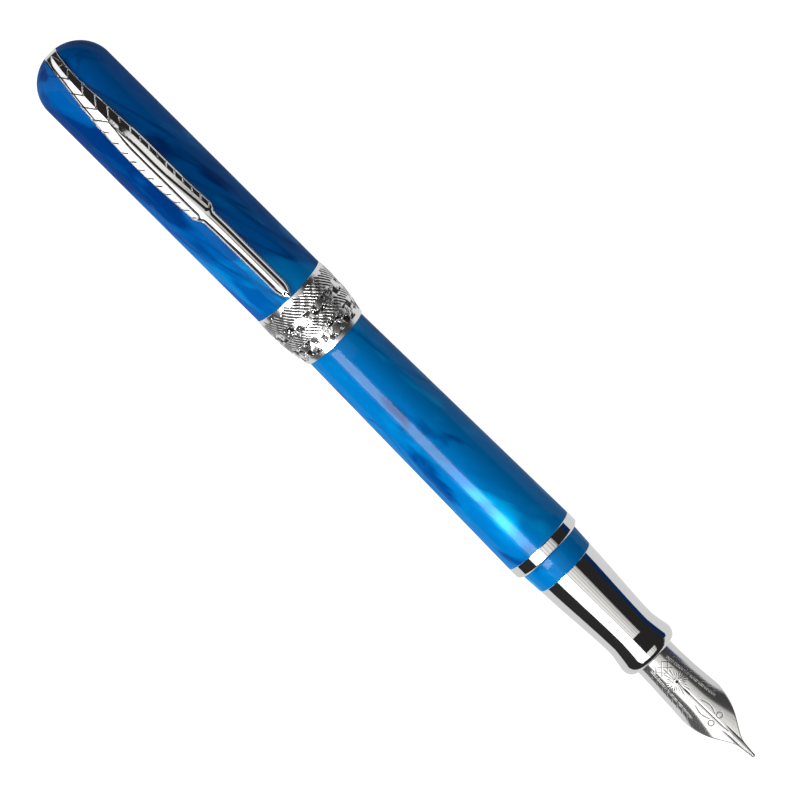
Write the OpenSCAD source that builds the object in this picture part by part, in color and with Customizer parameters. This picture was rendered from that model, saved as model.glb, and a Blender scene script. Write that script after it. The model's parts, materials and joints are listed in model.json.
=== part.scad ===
// Fountain pen with its cap posted on the back of the barrel.
// It lies along X with the nib at +X, its clip and the top of its nib face +Z.
// Lengths are measured along X from the middle of the posted pen.

/* [Overall] */
// Length with the cap posted
posted_len = 165.2; // [164:0.2:168]
// Radius of the cap
cap_r = 7.08; // [7.05:0.01:7.15]
// Largest radius of the cap band
band_r = 7.12; // [7.1:0.01:7.3]

/* [Cap] */
// Length of the domed end
dome_len = 6.6; // [6.4:0.1:6.8]
// Length of the cap from its crown to its lip
cap_len = 66.6; // [66:0.1:67]
// Length of the metal band
band_len = 10.95; // [10.5:0.05:11.4]
// Radius of the cap's bore
cap_bore_r = 5.95; // [5.93:0.01:5.96]

/* [Clip] */
// Width of the strip over the dome
clip_strip_w = 2.45; // [2.4:0.05:2.9]
// Greatest width of the vane
clip_vane_w = 4.4; // [4:0.1:4.6]
// Width of the bare shaft
clip_shaft_w = 2.7; // [2.4:0.1:3]
// Thickness of the clip
clip_t = 0.95; // [0.8:0.05:1]

/* [Barrel] */
// Radius of the barrel at the trim ring
barrel_front_r = 6.68; // [6.66:0.01:6.72]
// Radius of the barrel where its rounded end starts
barrel_rear_r = 5.5; // [5.45:0.01:5.5]
// Radius of the trim ring
ring_r = 6.72; // [6.7:0.01:6.74]
// Length of the trim ring
ring_len = 2.3; // [2.2:0.1:2.4]
// Length of the neck in front of the trim ring
neck_len = 4; // [3.9:0.1:4.1]

/* [Section and nib] */
// Length of the metal grip
grip_len = 20.7; // [20.6:0.1:20.8]
// Radius of the grip at the neck
grip_rear_r = 5.63; // [5.6:0.01:5.66]
// Radius of the grip's waist
grip_waist_r = 4.77; // [4.75:0.01:4.85]
// Radius of the grip's front rim
grip_rim_r = 5.33; // [5.3:0.01:5.36]
// Half of the nib's width at its shoulders
nib_shoulder_w = 4.35; // [4.2:0.05:4.4]
// Thickness of the nib
nib_t = 0.3; // [0.25:0.05:0.3]

/* [Converter] */
// Length of the converter
converter_len = 73.8; // [73.6:0.1:74]
// Radius of the clear tube
tube_r = 3.5; // [3.45:0.05:3.5]
// Bore radius of the clear tube
tube_bore_r = 2.9; // [2.88:0.01:2.92]

/* [Hidden] */
$fn = 96;

axis_z = band_r;
fit = 0.02;
crown_x = -posted_len / 2;
tip_x = posted_len / 2;

// Cap stations
dome_x = crown_x + dome_len;
lip_x = crown_x + cap_len;
band_x = lip_x - band_len;
crown_floor_x = crown_x + 7.6;
spigot_r = 6.58;
band_bulge_x = band_x + 3.5;
band_lip_r = 6.15;
magnet_x = lip_x - 5.55;
magnet_len = 2;
liner_mouth_x = lip_x - 25.95;
liner_end_x = liner_mouth_x - 25.5;
liner_bore_r = 4.9;
liner_wall = 1;

// Clip stations, angles on the dome are measured from the crown
foot_from = -14;
foot_to = 70;
foot_gap = 0.8;
strip_proud = 0.75;
strip_depth = 0.2;
strip_slack = 0.1;
strip_crown_t = 0.65;
tang_z = [1.6, 2.5];
tang_x = crown_x + 0.5;
tang_bend_x = crown_x + 2.2;
tang_dip = 1.6;
eye_r = 3;
eye_t = 0.8;
screw_r = 1.2;
screw_head_r = 2.4;
screw_head_len = 1.4;
screw_len = 5;
vane_x = dome_x + 14.5;
vane_end_x = dome_x + 30;
taper_x = dome_x + 46;
quill_x = dome_x + 49.2;
rise_len = 14;
arm_lift = 0.75;
arm_touch = 0.17;

// Barrel stations
ring_x = 31.6;
neck_x = ring_x + ring_len;
grip_x = neck_x + neck_len;
rear_x = -37;
rear_len = 7;
barrel_bore_r = 4.15;
bush_x = 14;
bush_r = 4.95;
bush_bore_r = 4.42;
neck_rear_r = 5.87;
neck_front_r = 5.65;
keeper_r = 5.43;
keeper_len = 2.2;
seal_t = 0.28;
seal_r = 5.15;

// Section stations
rim_x = grip_x + grip_len;
grip_bore_r = 4.25;
sleeve_step_x = grip_x + 5.1;
sleeve_x = 22;
sleeve_r = 4.05;
sleeve_flange_r = 4.6;
sleeve_bore_r = 3.78;
thread_r = 4.35;
thread_from = 24;
thread_count = 9;
thread_pitch = 1;
waist_x = rim_x - 5.3;
rim_round = 1.05;
rim_round_len = 1.8;
rim_top_x = rim_x - rim_round_len;

// Nib unit stations
collar_front_x = rim_x - 0.4;
collar_r = 4.2;
collar_bore_r = 3.75;
nib_tail_x = rim_x - 12;
nib_base_r = 3.72;
shoulder_x = rim_x + 11.3;
nib_tip_z = 0.32;
nib_end_x = tip_x - 0.35;
tine_root_w = 1.6;
tine_end_w = 0.3;
pellet_r = 0.38;
slit_w = 0.12;
vent_r = 0.3;
vent_x = rim_x + 5.5;
feed_r = 3.33;
feed_tip_x = rim_x + 17.9;
fin_count = 9;
fin_pitch = 0.95;
fin_groove = 0.35;
nipple_r = 1.3;
nipple_bore_r = 0.6;
nipple_len = 6.6;
nipple_flange = 1.4;

// Converter stations
mouth_front_x = sleeve_step_x - 0.2;
mouth_x = 34;
mouth_r = 3.6;
mouth_plug = 2;
socket_r = 1.38;
socket_len = 7.3;
ink_hole_r = 0.8;
tube_x = -2;
ferrule_x = -12;
ferrule_len = 17;
ferrule_r = 3.75;
knob_x = mouth_front_x - converter_len;
knob_r = 3.45;
knob_gap = 0.1;
knob_bore_r = 1.5;
knob_ribs = 12;
nut_r = 2.85;
nut_bore_r = 1.36;
nut_front_x = -3.5;
rod_rear_x = -8;
rod_head_x = 27.5;
rod_r = 1.1;
rod_thread_r = 1.28;
rod_head_r = 1.9;
rod_thread_count = 27;
plug_x = 26.5;
plug_len = 5.2;
plug_r = 2.86;

steel = [0.78, 0.79, 0.81];
cap_blue = [0.02, 0.20, 0.55];
barrel_blue = [0.02, 0.38, 0.78];
black = [0.06, 0.06, 0.07];

// Turns a profile of [radius, x] points round the pen's axis.
module turned(profile) {
  translate([0, 0, axis_z])
    rotate([0, 90, 0])
      rotate_extrude()
        polygon(profile);
}

// A rod or disc on the pen's axis from x0 to x1.
module rod(r, x0, x1) {
  translate([x0, 0, axis_z])
    rotate([0, 90, 0])
      cylinder(r = r, h = x1 - x0);
}

// A tube on the pen's axis.
module tube(r, bore, x0, x1) {
  turned([[bore, x0], [r, x0], [r, x1], [bore, x1]]);
}

// A slab of width w whose side outline is a list of [x, height above the axis].
module slab(outline, w) {
  translate([0, w / 2, axis_z])
    rotate([90, 0, 0])
      linear_extrude(w)
        polygon(outline);
}

// A thread ridge on the pen's axis: it rises from radius root to radius top.
module ridge(root, top, x, pitch) {
  turned([[root, x], [top, x + 0.35 * pitch], [top, x + 0.5 * pitch], [root, x + 0.85 * pitch]]);
}

// A point on an ellipse round the dome's centre: a is 0 at the crown and 90 at the cap's side.
function dome_point(a, len, r) = [dome_x - len * cos(a), r * sin(a)];
function eased(t) = t * t * (3 - 2 * t);
function mix(a, b, t) = a + (b - a) * t;

// Cap

function cap_outline() = [
  for (a = [0 : 6 : 90])
    let (p = dome_point(a, dome_len, cap_r))
      [p[1], p[0]]
];

// The underside of the clip's strip over the dome.
function strip_under(a) = dome_point(a, dome_len - strip_crown_t, cap_r - strip_depth);

// Side outline of the clip's root: slanting in through the crown, then straight to the washer.
function tang_outline(from_x, to_x, gap) =
  let (drop = tang_dip * (tang_bend_x - from_x) / (tang_bend_x - crown_x))
    [
      [from_x, tang_z[0] - drop - gap], [tang_bend_x, tang_z[0] - gap], [to_x, tang_z[0] - gap],
      [to_x, tang_z[1] + gap], [tang_bend_x, tang_z[1] + gap], [from_x, tang_z[1] - drop + gap]
    ];

// The groove that the clip's strip lies in, over the dome and a little way down the side.
module clip_groove() {
  floor_r = cap_r - strip_depth - strip_slack;
  angles = concat([foot_from - 0.8], [for (a = [foot_from + 6 : 6 : 88]) a]);
  last = len(angles) - 1;
  inner = [for (a = angles) dome_point(a, dome_len - strip_crown_t - strip_slack, floor_r)];
  outer = [for (i = [last : -1 : 0]) dome_point(angles[i], dome_len + 1, cap_r + 1)];
  run_out = [[dome_x + 1.5, floor_r], [dome_x + 2.5, cap_r + 1]];
  slab(concat(inner, run_out, outer), clip_strip_w + 2.5 * strip_slack);
}

module cap_shell() {
  color(cap_blue)
    difference() {
      turned(concat(cap_outline(), [
        [cap_r, band_x], [spigot_r, band_x], [spigot_r, magnet_x], [0, magnet_x]
      ]));
      rod(cap_bore_r, crown_floor_x, lip_x);
      rod(screw_r + fit, crown_floor_x - screw_len, crown_floor_x + 1);
      clip_groove();
      slab(tang_outline(crown_x - 0.1, crown_floor_x + 1, fit), clip_strip_w + 2 * fit);
    }
}

module cap_band() {
  reach = lip_x - band_bulge_x;
  color(steel)
    turned(concat(
      [[cap_bore_r, lip_x], [cap_bore_r, magnet_x + magnet_len], [spigot_r + fit, magnet_x + magnet_len]],
      [[spigot_r + fit, band_x], [cap_r + 0.02, band_x], [cap_r + 0.05, band_x + 1], [band_r, band_x + 1.8]],
      [for (u = [0 : 0.125 : 1]) [mix(band_r, band_lip_r, u * u), band_bulge_x + reach * u]]
    ));
}

module inner_cap() {
  color(black)
    difference() {
      rod(cap_bore_r - fit, liner_end_x, liner_mouth_x);
      rod(liner_bore_r, liner_end_x + liner_wall, liner_mouth_x + 1);
    }
}

module cap_magnet_ring() {
  color(steel)
    tube(spigot_r, cap_bore_r + 0.05, magnet_x, magnet_x + magnet_len);
}

// Clip

module clip_foot() {
  outer = [for (a = [foot_from : 6 : foot_to]) dome_point(a, dome_len, cap_r + strip_proud)];
  inner = [for (a = [foot_to : -6 : foot_from]) strip_under(a)];
  color(steel)
    difference() {
      union() {
        slab(concat(outer, inner), clip_strip_w);
        slab(tang_outline(tang_x, crown_floor_x + eye_t, 0), clip_strip_w);
        rod(eye_r, crown_floor_x, crown_floor_x + eye_t);
      }
      rod(screw_r + fit, crown_floor_x - 1, crown_floor_x + eye_t + 1);
    }
}

module clip_screw() {
  head_x = crown_floor_x + eye_t;
  color(steel)
    difference() {
      union() {
        rod(screw_r, crown_floor_x - screw_len + 0.2, head_x + 0.1);
        rod(screw_head_r, head_x, head_x + screw_head_len);
      }
      translate([head_x + screw_head_len - 0.5, -screw_head_r, axis_z - 0.3])
        cube([1, 2 * screw_head_r, 0.6]);
    }
}

// Height of the arm's underside above the axis, from the cap's side to the quill.
function arm_under(x) =
  let (
    rise = 1 - pow(1 - min(1, (x - dome_x) / rise_len), 2),
    fall = eased(max(0, min(1, (x - vane_end_x) / (taper_x - vane_end_x))))
  )
    cap_r - strip_depth + (strip_depth + arm_lift) * rise - (arm_lift - arm_touch) * fall;

module clip_arm() {
  from = foot_to + foot_gap;
  start_top = [for (a = [from : 6 : 90]) dome_point(a, dome_len, cap_r + strip_proud)];
  start_under = [for (a = [90 : -6 : from]) strip_under(a)];
  run = [for (i = [1 : 12]) mix(dome_x, taper_x, i / 12)];
  end = [[quill_x, cap_r + 0.55], [quill_x, cap_r + arm_touch]];
  side = concat(
    start_top,
    [for (x = run) [x, arm_under(x) + clip_t]],
    end,
    [for (i = [12 : -1 : 1]) [run[i - 1], arm_under(run[i - 1])]],
    start_under,
    [strip_under(from)]
  );
  half = [
    [dome_x - 4, clip_strip_w / 2], [dome_x + 2.5, clip_strip_w / 2], [dome_x + 9, clip_vane_w / 2 - 0.3],
    [vane_x, clip_vane_w / 2], [mix(vane_x, vane_end_x, 0.6), clip_vane_w / 2 - 0.2],
    [vane_end_x, clip_shaft_w / 2 + 0.1], [taper_x, clip_shaft_w / 2 - 0.1], [quill_x - 0.2, 0.25]
  ];
  color(steel)
    intersection() {
      slab(side, clip_vane_w + 2);
      translate([0, 0, axis_z])
        linear_extrude(cap_r + 5)
          polygon(concat(half, [for (i = [len(half) - 1 : -1 : 0]) [half[i][0], -half[i][1]]]));
    }
}

// Barrel

module barrel_shell() {
  rear = [for (a = [0 : 9 : 90]) [barrel_rear_r * sin(a), rear_x - rear_len * cos(a)]];
  color(barrel_blue)
    turned(concat(
      rear,
      [[barrel_front_r, ring_x], [bush_r + fit, ring_x], [bush_r + fit, bush_x], [barrel_bore_r, bush_x]],
      [[barrel_bore_r, rear_x - 1], [barrel_bore_r - 1.65, rear_x - 4.3], [0, rear_x - 4.3]]
    ));
}

module trim_ring() {
  edge = 0.4;
  color(steel)
    turned([
      [bush_r + fit, ring_x], [ring_r, ring_x], [ring_r, neck_x - edge],
      [ring_r - edge, neck_x], [bush_r + fit, neck_x]
    ]);
}

module barrel_neck() {
  color(barrel_blue)
    turned([
      [keeper_r + fit, neck_x], [neck_rear_r, neck_x], [neck_front_r, grip_x], [seal_r + 0.1, grip_x],
      [seal_r + 0.1, grip_x - seal_t - fit], [bush_r + fit, grip_x - seal_t - fit],
      [bush_r + fit, neck_x + keeper_len], [keeper_r + fit, neck_x + keeper_len]
    ]);
}

module barrel_bush() {
  color("goldenrod")
    tube(bush_r, bush_bore_r, bush_x, grip_x - seal_t - 0.07);
}

module barrel_magnet_ring() {
  color(steel)
    tube(keeper_r, bush_r + fit, neck_x, neck_x + keeper_len);
}

// Section

// Radius of the grip: a long fall to the waist, a short flare to the rim.
function grip_radius(x) =
  x < waist_x
    ? let (u = (x - grip_x) / (waist_x - grip_x))
        mix(grip_waist_r, grip_rear_r, 0.5 * (1 - u) + 0.25 * (1 + cos(180 * u)))
    : mix(grip_waist_r, grip_rim_r, pow((x - waist_x) / (rim_top_x - waist_x), 1.35));

module section_grip() {
  body = [for (i = [0 : 18]) let (x = mix(grip_x, rim_top_x, i / 18)) [grip_radius(x), x]];
  rim = [
    for (a = [75 : -15 : 15])
      [grip_rim_r - rim_round * (1 - sin(a)), rim_top_x + rim_round_len * cos(a)]
  ];
  color(steel)
    turned(concat(
      body, rim,
      [[grip_bore_r, rim_x - 0.02], [grip_bore_r, sleeve_step_x]],
      [[sleeve_flange_r + fit, sleeve_step_x], [sleeve_flange_r + fit, grip_x]]
    ));
}

module section_sleeve() {
  color(black)
    difference() {
      union() {
        rod(sleeve_r, sleeve_x, grip_x);
        rod(sleeve_flange_r, grip_x, sleeve_step_x);
        for (i = [0 : thread_count - 1])
          ridge(sleeve_r - 0.1, thread_r, thread_from + i * thread_pitch, thread_pitch);
      }
      rod(sleeve_bore_r, sleeve_x - 1, sleeve_step_x + 1);
    }
}

module section_seal() {
  color(black)
    tube(seal_r, sleeve_r + 0.05, grip_x - seal_t, grip_x);
}

// Nib unit

// Half width of the nib: a slow swell to the shoulders, then concave flanks to the point.
function nib_half_width(x) =
  x < rim_x ? nib_base_r
  : x < shoulder_x ? mix(nib_base_r, nib_shoulder_w, pow((x - rim_x) / (shoulder_x - rim_x), 1.7))
  : let (u = (x - shoulder_x) / (nib_end_x - shoulder_x))
      mix(tine_root_w, tine_end_w, u)
        + (nib_shoulder_w - tine_root_w) * (1 - eased(pow(min(1, u / 0.8), 1.5)));
// Height of the nib's ridge above the axis.
function nib_crown(x) =
  x < rim_x ? nib_base_r : mix(nib_base_r, nib_tip_z, pow((x - rim_x) / (nib_end_x - rim_x), 1.3));
// Radius of the nib's arch.
function nib_arch(x) = nib_base_r + 0.01 + 1.3 * eased(max(0, min(1, (x - rim_x) / (shoulder_x - rim_x))));
// One row of the nib's arch, on its outer or inner face.
function nib_row(x, inset) =
  let (arch = nib_arch(x), half = asin(min(1, nib_half_width(x) / arch)) * (x < rim_x ? 0.93 : 0.985))
    [
      for (j = [-6 : 6])
        let (a = half * j / 6)
          [x, (arch - inset) * sin(a), nib_crown(x) - arch + (arch - inset) * cos(a)]
    ];

module nib() {
  stations = [for (i = [0 : 22]) i < 3 ? mix(nib_tail_x, rim_x, i / 3) : mix(rim_x, nib_end_x, (i - 3) / 19)];
  rows = len(stations);
  cols = 13;
  top = [for (x = stations) each nib_row(x, 0)];
  under = [for (x = stations) each nib_row(x, nib_t)];
  n = rows * cols;
  top_faces = [
    for (i = [0 : rows - 2], j = [0 : cols - 2])
      [i * cols + j, i * cols + j + 1, (i + 1) * cols + j + 1, (i + 1) * cols + j]
  ];
  under_faces = [for (f = top_faces) [n + f[3], n + f[2], n + f[1], n + f[0]]];
  sides = [
    for (i = [0 : rows - 2], j = [0, cols - 1])
      let (a = i * cols + j, b = (i + 1) * cols + j)
        j == 0 ? [a, b, n + b, n + a] : [b, a, n + a, n + b]
  ];
  ends = [
    for (j = [0 : cols - 2], i = [0, rows - 1])
      let (a = i * cols + j, b = a + 1)
        i == 0 ? [b, a, n + a, n + b] : [a, b, n + b, n + a]
  ];
  color(steel)
    translate([0, 0, axis_z])
      difference() {
        polyhedron(concat(top, under), concat(top_faces, under_faces, sides, ends));
        translate([vent_x, -slit_w / 2, -1])
          cube([tip_x, slit_w, 6]);
        translate([vent_x, 0, 0])
          cylinder(r = vent_r, h = 6, $fn = 24);
      }
}

module nib_tip() {
  color(steel)
    translate([tip_x - pellet_r, 0, axis_z + nib_tip_z - nib_t / 2])
      sphere(pellet_r, $fn = 32);
}

module feed() {
  color(black)
    difference() {
      turned([
        [0, rim_x - 14.1], [feed_r, rim_x - 14.1], [feed_r, rim_x], [3.0, rim_x + 3.4], [2.5, rim_x + 7.4],
        [0.9, feed_tip_x - 0.6], [0.4, feed_tip_x], [0, feed_tip_x]
      ]);
      for (i = [0 : fin_count - 1])
        translate([rim_x + 1 + i * fin_pitch, -feed_r - 1, axis_z - feed_r - 1])
          cube([fin_groove, 2 * feed_r + 2, feed_r - 0.2]);
      rod(0.5, rim_x - 15, rim_x - 10);
    }
}

module nib_collar() {
  color(black)
    tube(collar_r, collar_bore_r, sleeve_step_x + fit, collar_front_x);
}

module feed_nipple() {
  flange_x = sleeve_step_x + fit;
  color(black)
    difference() {
      union() {
        rod(nipple_r, flange_x - nipple_len, flange_x + 0.5);
        rod(collar_bore_r - fit, flange_x, flange_x + nipple_flange);
      }
      rod(nipple_bore_r, flange_x - nipple_len - 1, flange_x + nipple_flange + 1);
    }
}

// Converter

module converter_mouth() {
  color(black)
    difference() {
      union() {
        rod(mouth_r, mouth_x, mouth_front_x);
        rod(tube_bore_r - fit, mouth_x - mouth_plug, mouth_x + 0.5);
      }
      rod(socket_r, mouth_front_x - socket_len, mouth_front_x + 1);
      rod(ink_hole_r, mouth_x - mouth_plug - 1, mouth_front_x - 1);
    }
}

module converter_tube() {
  color([0.85, 0.9, 0.95])
    tube(tube_r, tube_bore_r, tube_x, mouth_x);
}

module converter_ferrule() {
  front_x = ferrule_x + ferrule_len;
  color(steel)
    turned([
      [nut_r + 0.1, ferrule_x], [ferrule_r, ferrule_x], [ferrule_r, front_x], [tube_r + fit, front_x],
      [tube_r + fit, tube_x], [nut_r + 0.1, tube_x]
    ]);
}

module converter_knob() {
  front_x = ferrule_x - knob_gap;
  color(black)
    difference() {
      union() {
        rod(knob_r - 0.15, knob_x, front_x);
        rod(knob_r, front_x - 2, front_x);
        for (i = [0 : knob_ribs - 1])
          translate([knob_x + 1, 0, axis_z])
            rotate([i * 360 / knob_ribs, 0, 0])
              translate([0, -0.35, 0])
                cube([front_x - knob_x - 4, 0.7, knob_r]);
      }
      rod(knob_bore_r, knob_x + 1.5, front_x + 1);
    }
}

module drive_nut() {
  color("goldenrod")
    tube(nut_r, nut_bore_r, ferrule_x - knob_gap, nut_front_x);
}

module piston_rod() {
  color(black)
    union() {
      rod(rod_r, rod_rear_x, rod_head_x + 0.5);
      rod(rod_head_r, rod_head_x, rod_head_x + 2.5);
      for (i = [0 : rod_thread_count - 1])
        ridge(rod_r - 0.1, rod_thread_r, rod_rear_x + 0.1 + i * thread_pitch, thread_pitch);
    }
}

module piston_seal() {
  end_x = plug_x + plug_len;
  color(black)
    difference() {
      turned([
        [0, plug_x], [plug_r, plug_x], [plug_r, plug_x + 0.8], [plug_r - 0.3, plug_x + 1.4],
        [plug_r - 0.3, end_x - 1.6], [plug_r, end_x - 1], [plug_r, end_x - 0.4],
        [plug_r - 0.4, end_x], [0, end_x]
      ]);
      rod(rod_r + fit, plug_x - 1, rod_head_x + 0.1);
      rod(rod_head_r + fit, rod_head_x - fit, rod_head_x + 2.5 + fit);
    }
}

cap_shell();
cap_band();
inner_cap();
cap_magnet_ring();
clip_foot();
clip_screw();
clip_arm();
barrel_shell();
trim_ring();
barrel_neck();
barrel_bush();
barrel_magnet_ring();
section_grip();
section_sleeve();
section_seal();
nib();
nib_tip();
feed();
nib_collar();
feed_nipple();
converter_mouth();
converter_tube();
converter_ferrule();
converter_knob();
drive_nut();
piston_rod();
piston_seal();
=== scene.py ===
"""Fountain pen with its cap posted on the barrel: the looks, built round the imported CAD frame.

Shapes are made in millimetres on the pen's axis, x along the pen, and scaled to metres when a mesh is
made. Every place comes from the CAD nodes' boxes. Angles round the axis start at the top, where the clip
and the face of the nib are, and grow towards -Y.
"""
import json
import math
import random

import bpy
import bmesh
import numpy as np
from mathutils import Matrix, Vector


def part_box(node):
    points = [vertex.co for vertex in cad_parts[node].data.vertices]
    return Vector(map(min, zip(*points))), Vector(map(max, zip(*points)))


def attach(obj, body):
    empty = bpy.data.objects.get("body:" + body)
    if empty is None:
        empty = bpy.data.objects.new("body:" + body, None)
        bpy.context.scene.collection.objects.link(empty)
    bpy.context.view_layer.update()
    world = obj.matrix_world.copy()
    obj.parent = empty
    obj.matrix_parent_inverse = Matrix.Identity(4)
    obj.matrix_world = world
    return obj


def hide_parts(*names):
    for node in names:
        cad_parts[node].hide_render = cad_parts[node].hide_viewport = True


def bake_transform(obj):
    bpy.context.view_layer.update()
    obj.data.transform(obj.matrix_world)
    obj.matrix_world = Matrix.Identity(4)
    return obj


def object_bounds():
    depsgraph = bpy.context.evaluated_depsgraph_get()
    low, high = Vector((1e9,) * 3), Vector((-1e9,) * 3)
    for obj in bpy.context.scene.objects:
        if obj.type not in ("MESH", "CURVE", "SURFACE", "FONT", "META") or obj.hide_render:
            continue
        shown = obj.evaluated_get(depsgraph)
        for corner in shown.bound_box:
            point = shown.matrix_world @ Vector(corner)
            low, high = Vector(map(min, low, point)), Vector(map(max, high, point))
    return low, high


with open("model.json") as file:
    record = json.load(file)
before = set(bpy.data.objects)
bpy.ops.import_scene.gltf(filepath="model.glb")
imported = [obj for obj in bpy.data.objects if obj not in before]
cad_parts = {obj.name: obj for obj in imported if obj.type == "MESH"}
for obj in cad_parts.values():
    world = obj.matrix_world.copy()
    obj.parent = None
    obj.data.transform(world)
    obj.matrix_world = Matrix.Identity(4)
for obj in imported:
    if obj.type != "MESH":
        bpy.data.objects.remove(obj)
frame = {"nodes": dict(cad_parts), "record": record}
cad_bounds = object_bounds()

MM = 0.001
SHARP = math.radians(32)


def span(node):
    """The lowest and highest corner of a CAD node in millimetres."""
    low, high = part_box(node)
    return low / MM, high / MM


ring_low, ring_high = span("trim_ring")
AXIS_Z = (ring_low.z + ring_high.z) / 2


# ---------------------------------------------------------------- mesh helpers

def smoothstep(t):
    t = np.clip(t, 0.0, 1.0)
    return t * t * (3 - 2 * t)


def mix(a, b, t):
    return a + (b - a) * t


def new_object(name, points_mm, faces, body, material):
    """A piece from points in millimetres, smooth apart from its sharp edges, riding on a body."""
    mesh = bpy.data.meshes.new(name)
    mesh.from_pydata((np.asarray(points_mm) * MM).tolist(), [], faces)
    mesh.validate()
    bm = bmesh.new()
    bm.from_mesh(mesh)
    bmesh.ops.remove_doubles(bm, verts=bm.verts, dist=1e-7)
    bmesh.ops.recalc_face_normals(bm, faces=bm.faces)
    bm.to_mesh(mesh)
    bm.free()
    mesh.polygons.foreach_set("use_smooth", [True] * len(mesh.polygons))
    mesh.set_sharp_from_angle(angle=SHARP)
    piece = bpy.data.objects.new(name, mesh)
    bpy.context.scene.collection.objects.link(piece)
    mesh.materials.append(material)
    if body:
        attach(piece, body)
    return piece


def rounded(profile, steps=5):
    """A profile of (x, r) or (x, r, fillet radius) corners, with the fillets worked out as arcs."""
    out = []
    count = len(profile)
    for i, corner in enumerate(profile):
        here = np.array(corner[:2], float)
        fillet = corner[2] if len(corner) > 2 else 0
        if not fillet:
            out.append(tuple(here))
            continue
        before = np.array(profile[i - 1][:2], float) - here
        after = np.array(profile[(i + 1) % count][:2], float) - here
        a, b = before / np.linalg.norm(before), after / np.linalg.norm(after)
        half = math.acos(np.clip(a @ b, -1, 1)) / 2
        reach = fillet / math.tan(half)
        centre = here + (a + b) / np.linalg.norm(a + b) * fillet / math.sin(half)
        start, end = here + a * reach - centre, here + b * reach - centre
        turn = math.atan2(start[0] * end[1] - start[1] * end[0], start @ end)
        for k in range(steps + 1):
            angle = turn * k / steps
            c, s = math.cos(angle), math.sin(angle)
            out.append((
                centre[0] + start[0] * c - start[1] * s,
                centre[1] + start[0] * s + start[1] * c,
            ))
    return out


def turned(name, profile, body, material, around=192):
    """A closed profile of (x, r) points turned round the pen's axis."""
    points, faces, rows = [], [], []
    for x, r in profile:
        if r < 1e-6:
            rows.append([len(points)] * around)
            points.append((x, 0, AXIS_Z))
            continue
        rows.append(list(range(len(points), len(points) + around)))
        for j in range(around):
            a = 2 * math.pi * j / around
            points.append((x, -r * math.sin(a), AXIS_Z + r * math.cos(a)))
    for i, row in enumerate(rows):
        following = rows[(i + 1) % len(rows)]
        for j in range(around):
            k = (j + 1) % around
            face = list(dict.fromkeys((row[j], row[k], following[k], following[j])))
            if len(face) > 2:
                faces.append(face)
    return new_object(name, points, faces, body, material)


def grid_faces(rows, cols, wrap=False, first=0, flip=False):
    """The quads of a grid of rows by cols points, numbered row by row."""
    faces = []
    for i in range(rows - 1):
        for j in range(cols if wrap else cols - 1):
            k = (j + 1) % cols
            face = (i * cols + j, i * cols + k, (i + 1) * cols + k, (i + 1) * cols + j)
            faces.append(tuple(first + v for v in (face[::-1] if flip else face)))
    return faces


def paint(piece, name, values):
    """Stores one number per vertex, which a material reads as an attribute."""
    attribute = piece.data.attributes.new(name, "FLOAT", "POINT")
    attribute.data.foreach_set("value", np.asarray(values, np.float32))


# ---------------------------------------------------------------- material helpers

class Tree:
    """Builds a material's node tree with short calls. A socket is given as a node's output."""

    def __init__(self, name):
        self.material = bpy.data.materials.new(name)
        self.material.use_nodes = True
        self.nodes = self.material.node_tree.nodes
        self.links = self.material.node_tree.links
        self.shader = self.nodes["Principled BSDF"]

    def node(self, kind, settings=None, **inputs):
        made = self.nodes.new(kind)
        for key, value in (settings or {}).items():
            setattr(made, key, value)
        for key, value in inputs.items():
            self.put(made.inputs[key.replace("_", " ")], value)
        return made

    def put(self, socket, value):
        if isinstance(value, bpy.types.NodeSocket):
            self.links.new(value, socket)
        else:
            socket.default_value = value

    def set(self, **inputs):
        for key, value in inputs.items():
            self.put(self.shader.inputs[key.replace("_", " ")], value)

    def place(self, scale):
        """The point in the piece's own frame, scaled, so that a pattern stays on a part that moves."""
        where = self.node("ShaderNodeTexCoord")
        mapped = self.node("ShaderNodeMapping", Vector=where.outputs["Object"], Scale=scale)
        return mapped.outputs["Vector"]

    def noise(self, vector, scale=1.0, detail=4.0, roughness=0.5, distortion=0.0):
        made = self.node(
            "ShaderNodeTexNoise", Vector=vector, Scale=scale, Detail=detail, Roughness=roughness,
            Distortion=distortion,
        )
        return made.outputs["Fac"]

    def ramp(self, fac, stops, ease="LINEAR"):
        made = self.node("ShaderNodeValToRGB", Fac=fac)
        ramp = made.color_ramp
        ramp.interpolation = ease
        while len(ramp.elements) < len(stops):
            ramp.elements.new(0.5)
        for element, (position, colour) in zip(ramp.elements, stops):
            element.position = position
            element.color = (*colour, 1) if len(colour) == 3 else colour
        return made.outputs["Color"]

    def span(self, value, low, high, to_low, to_high):
        made = self.node(
            "ShaderNodeMapRange", Value=value, From_Min=low, From_Max=high, To_Min=to_low, To_Max=to_high
        )
        return made.outputs["Result"]

    def maths(self, operation, a, b=0.0):
        made = self.nodes.new("ShaderNodeMath")
        made.operation = operation
        self.put(made.inputs[0], a)
        self.put(made.inputs[1], b)
        return made.outputs[0]

    def blend(self, fac, a, b, kind="MIX"):
        made = self.nodes.new("ShaderNodeMix")
        made.data_type = "RGBA"
        made.blend_type = kind
        self.put(made.inputs["Factor"], fac)
        self.put(made.inputs[6], a if isinstance(a, bpy.types.NodeSocket) else (*a, 1))
        self.put(made.inputs[7], b if isinstance(b, bpy.types.NodeSocket) else (*b, 1))
        return made.outputs[2]

    def attribute(self, name):
        return self.node("ShaderNodeAttribute", {"attribute_name": name}).outputs["Fac"]

    def bump(self, height, strength, distance):
        made = self.node("ShaderNodeBump", Height=height, Strength=strength, Distance=distance)
        return made.outputs["Normal"]


# ---------------------------------------------------------------- materials

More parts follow.
